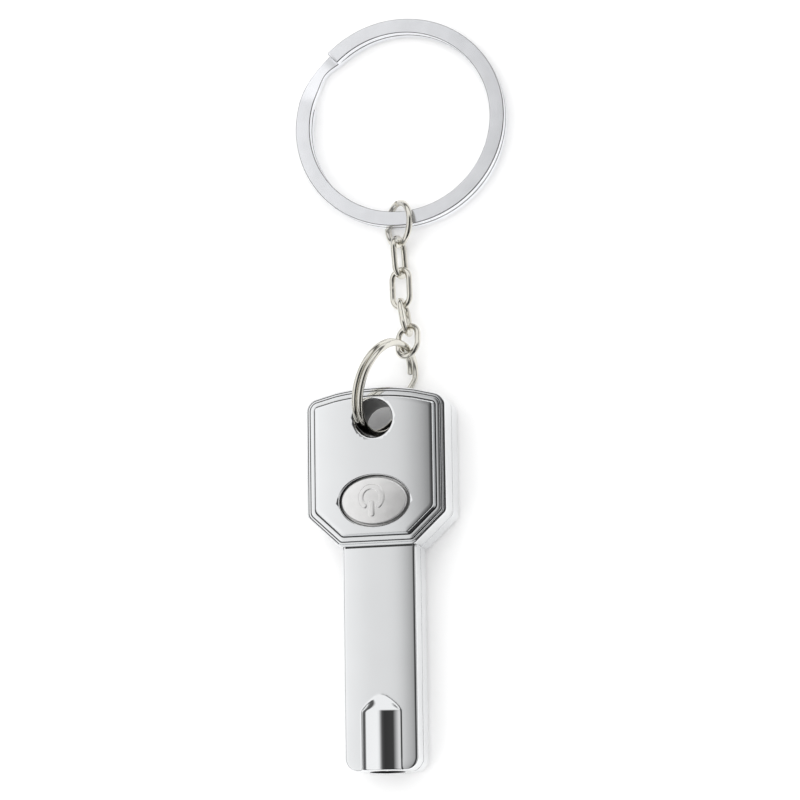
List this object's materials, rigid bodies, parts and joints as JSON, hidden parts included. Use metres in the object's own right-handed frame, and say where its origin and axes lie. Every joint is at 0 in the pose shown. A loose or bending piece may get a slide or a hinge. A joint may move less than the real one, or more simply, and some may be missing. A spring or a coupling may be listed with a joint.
{
  "type": "keychain flashlight",
  "caption": "Key-shaped chrome pocket light with an oval push button, a lamp in the blade's tip, and a short chain to a flat split key ring.",
  "frame": {"origin": "on the flat pad of the head's back, on the key's centre line, midway along the head", "axes": "+Z out of the front panel and button, +Y along the key from the blade towards the key ring, +X to the right"},
  "size_m": [0.032, 0.1126, 0.0143],
  "materials": {
    "chrome_shell": "bright chrome plating, mirror smooth",
    "satin_button": "pearl silver satin lacquer over a moulded cap",
    "switch_black": "moulded",
    "board_green": "solder-masked board",
    "insulating_film": "thin film",
    "holder_white": "moulded",
    "cell_steel": "nickel-plated can",
    "contact_brass": "plated spring strip",
    "resistor_blue": "lacquered",
    "wire_red": "insulation",
    "wire_black": "insulation",
    "sleeve_black": "shrunk sleeve",
    "lens_clear": "clear epoxy",
    "lead_tin": "tinned",
    "holder_black": "moulded",
    "screw_steel": "zinc plated",
    "nickel_wire": "bright nickel plating, slightly warm",
    "key_ring_steel": "bright nickel plating on flat spring wire"
  },
  "bodies": {
    "case": {"front_shell": "chrome_shell", "back_shell": "chrome_shell", "switch_body": "switch_black", "circuit_board": "board_green", "board_insulator": "insulating_film", "battery_holder": "holder_white", "cell_upper": "cell_steel", "cell_lower": "cell_steel", "positive_contact": "contact_brass", "negative_contact": "contact_brass", "resistor": "resistor_blue", "wire_red": "wire_red", "wire_black": "wire_black", "heat_shrink": "sleeve_black", "led_lens": "lens_clear", "led_leads": "lead_tin", "led_holder": "holder_black", "case_screws": "screw_steel"},
    "button": {"button_cap": "satin_button"},
    "plunger": {"switch_plunger": "switch_black"},
    "split_ring": {"split_ring": "nickel_wire"},
    "link_1": {"link_1": "nickel_wire"},
    "link_2": {"link_2": "nickel_wire"},
    "link_3": {"link_3": "nickel_wire"},
    "link_4": {"link_4": "nickel_wire"},
    "jump_ring": {"jump_ring": "nickel_wire"},
    "key_ring": {"key_ring": "key_ring_steel"}
  },
  "joints": [
    {"name": "button_press", "type": "slide", "parent": "case", "child": "button", "axis": [0, 0, -1], "range_m": [0, 0.00045], "stiffness_N_per_m": 300, "springref_m": -0.0002},
    {"name": "plunger_press", "type": "slide", "parent": "case", "child": "plunger", "axis": [0, 0, -1], "range_m": [0, 0.00045]},
    {"name": "split_ring_turn", "type": "hinge", "parent": "case", "child": "split_ring", "pos_m": [0.00103, 0.01177, 0.00718], "axis": [0.9026, -0.325, 0.2823], "range_deg": [-25, 60]},
    {"name": "link_1_swing", "type": "hinge", "parent": "split_ring", "child": "link_1", "pos_m": [0.00379, 0.01772, 0.0052], "axis": [-0.1515, 0.3741, 0.9149], "range_deg": [-8, 8]},
    {"name": "link_2_swing", "type": "hinge", "parent": "link_1", "child": "link_2", "pos_m": [0.00377, 0.02127, 0.00392], "axis": [0.9128, 0.2, 0.3561], "range_deg": [-30, 30]},
    {"name": "link_3_swing", "type": "hinge", "parent": "link_2", "child": "link_3", "pos_m": [0.00256, 0.02541, 0.00225], "axis": [-0.1314, 0.3184, 0.9388], "range_deg": [-30, 30]},
    {"name": "link_4_swing", "type": "hinge", "parent": "link_3", "child": "link_4", "pos_m": [0.00228, 0.03026, 0.00222], "axis": [0.9314, 0.0698, 0.3573], "range_deg": [-30, 30]},
    {"name": "jump_ring_swing", "type": "hinge", "parent": "link_4", "child": "jump_ring", "pos_m": [0.002, 0.03503, 0.00244], "axis": [-0.2576, -0.0538, 0.9648], "range_deg": [-18, 30]},
    {"name": "key_ring_turn", "type": "hinge", "parent": "jump_ring", "child": "key_ring", "pos_m": [0.00273, 0.05254, 0.00215], "axis": [0, 0.0436, 0.999], "continuous": true}
  ],
  "couplings": [
    {"joint": "plunger_press", "follows": "button_press", "ratio": 1}
  ]
}
